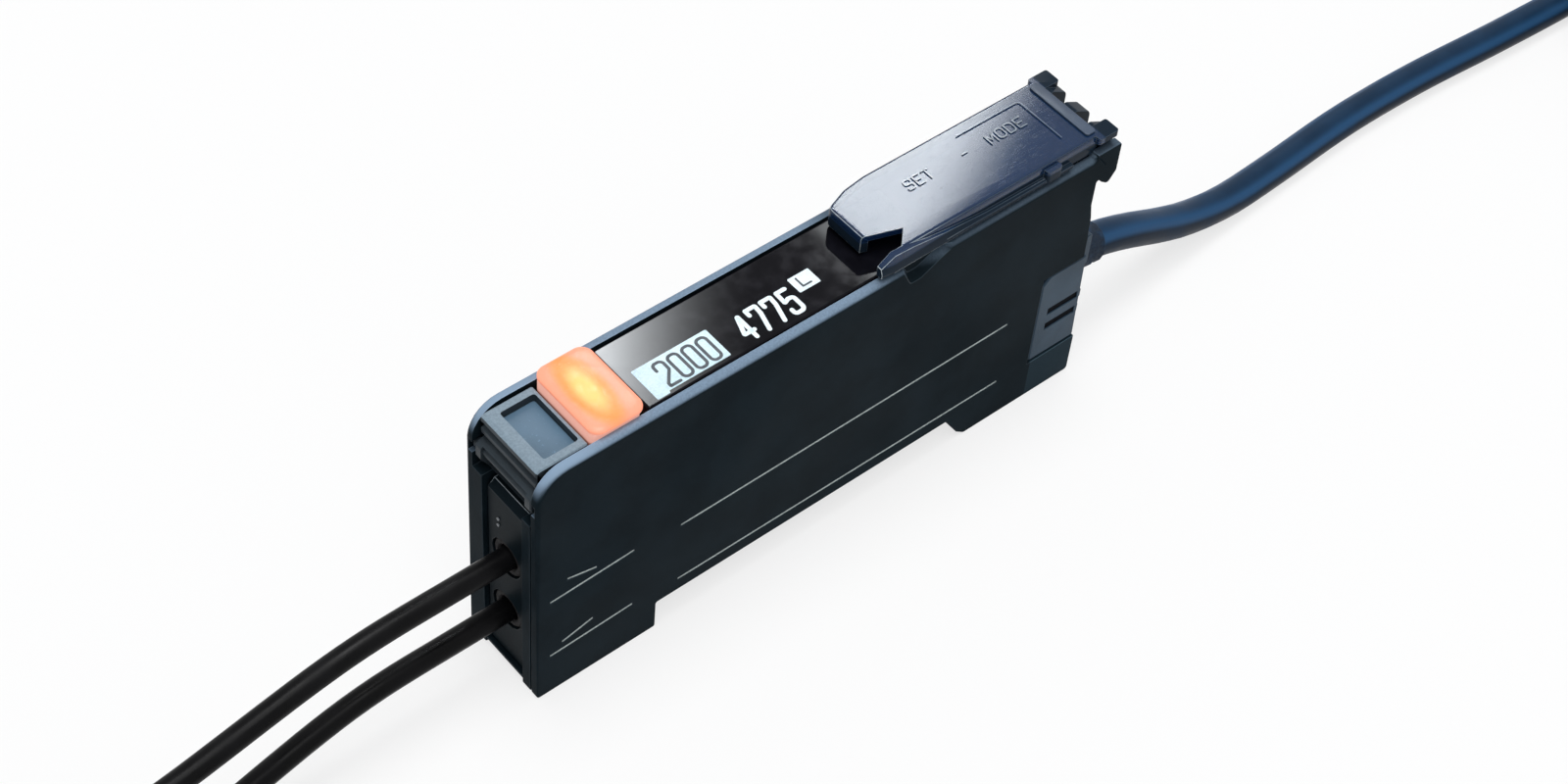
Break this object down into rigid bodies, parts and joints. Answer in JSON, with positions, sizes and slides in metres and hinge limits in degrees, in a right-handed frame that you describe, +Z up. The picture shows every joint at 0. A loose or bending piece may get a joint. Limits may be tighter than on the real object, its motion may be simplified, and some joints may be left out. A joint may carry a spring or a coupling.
{
  "type": "fibre optic sensor",
  "caption": "Slim DIN-rail fibre optic sensor amplifier with plastic fibres, lock lever, lit lens, display, keys under a clear hinged cover, plug and lead",
  "frame": {"origin": "centre of the housing's length and width, at the height of its feet's underside", "axes": "+X points to the rear, where the lead leaves; -X is the side the fibres leave; +Z is up, towards the display; -Y is the side with the finger recess and the fibre marks"},
  "size_m": [0.3314, 0.0356, 0.0329],
  "materials": {
    "housing_plastic": "fine spark-eroded texture, blue-black",
    "dark_plastic": "moulded",
    "slate_plastic": "moulded, slate grey",
    "lever_plastic": "moulded, pale blue-grey",
    "lens_plastic": "translucent orange, lit from inside",
    "window_plastic": "smoked clear",
    "clear_plastic": "polished, clear with a blue tint",
    "display_glass": "liquid-crystal cell",
    "board_green": "laminate",
    "switch_metal": "stamped sheet",
    "led_clear": "cast resin",
    "chip_black": "moulded",
    "seal_rubber": "soft",
    "pin_steel": "drawn wire",
    "fibre_jacket": "extruded black jacket, soft sheen",
    "lead_jacket": "extruded dark blue jacket, soft sheen",
    "nickel": "nickel-plated brass",
    "core_brown": "insulated core",
    "core_blue": "insulated core",
    "core_black": "insulated core",
    "core_pink": "insulated core"
  },
  "bodies": {
    "housing": {"casing": "housing_plastic", "side_cover": "housing_plastic", "fibre_block": "housing_plastic", "fibre_seal_lower": "seal_rubber", "fibre_seal_upper": "seal_rubber", "emitter_led": "led_clear", "receiver_diode": "chip_black", "indicator_lens": "lens_plastic", "indicator_led": "led_clear", "display_window": "window_plastic", "light_guide": "clear_plastic", "display_module": "display_glass", "key_panel": "slate_plastic", "switch_set": "switch_metal", "switch_plus": "switch_metal", "switch_minus": "switch_metal", "switch_mode": "switch_metal", "upper_board": "board_green", "main_board": "board_green", "processor_chip": "chip_black", "power_header": "chip_black", "hinge_pin": "pin_steel", "plug": "slate_plastic", "strain_relief": "lead_jacket", "fibre_lower": "fibre_jacket", "fibre_lower_hank": "fibre_jacket", "fibre_lower_tail": "fibre_jacket", "head_lower": "nickel", "head_lower_nut": "nickel", "fibre_upper": "fibre_jacket", "fibre_upper_hank": "fibre_jacket", "fibre_upper_tail": "fibre_jacket", "head_upper": "nickel", "head_upper_nut": "nickel", "lead": "lead_jacket", "lead_hank": "lead_jacket", "lead_tail": "lead_jacket", "core_brown": "core_brown", "core_blue": "core_blue", "core_black": "core_black", "core_pink": "core_pink"},
    "cover": {"cover": "clear_plastic"},
    "lever": {"lock_lever": "lever_plastic"},
    "clamp": {"clamp_plate": "dark_plastic"},
    "set_key": {"key_set": "slate_plastic"},
    "plus_key": {"key_plus": "slate_plastic"},
    "minus_key": {"key_minus": "slate_plastic"},
    "mode_key": {"key_mode": "slate_plastic"}
  },
  "joints": [
    {"name": "cover_hinge", "type": "hinge", "parent": "housing", "child": "cover", "pos_m": [0.03165, 0, 0.0292], "axis": [0, 1, 0], "range_deg": [0, 105]},
    {"name": "lever_hinge", "type": "hinge", "parent": "housing", "child": "lever", "pos_m": [-0.03205, 0, 0.0264], "axis": [0, -1, 0], "range_deg": [0, 90]},
    {"name": "clamp_slide", "type": "slide", "parent": "housing", "child": "clamp", "axis": [0, 0, 1], "range_m": [0, 0.0004]},
    {"name": "set_press", "type": "slide", "parent": "housing", "child": "set_key", "axis": [0, 0, -1], "range_m": [0, 0.00025], "stiffness_N_per_m": 1500},
    {"name": "plus_press", "type": "slide", "parent": "housing", "child": "plus_key", "axis": [0, 0, -1], "range_m": [0, 0.00025], "stiffness_N_per_m": 1500},
    {"name": "minus_press", "type": "slide", "parent": "housing", "child": "minus_key", "axis": [0, 0, -1], "range_m": [0, 0.00025], "stiffness_N_per_m": 1500},
    {"name": "mode_press", "type": "slide", "parent": "housing", "child": "mode_key", "axis": [0, 0, -1], "range_m": [0, 0.00025], "stiffness_N_per_m": 1500}
  ],
  "couplings": [
    {"joint": "lever_hinge", "follows": "clamp_slide", "rad_per_m": 3926}
  ]
}
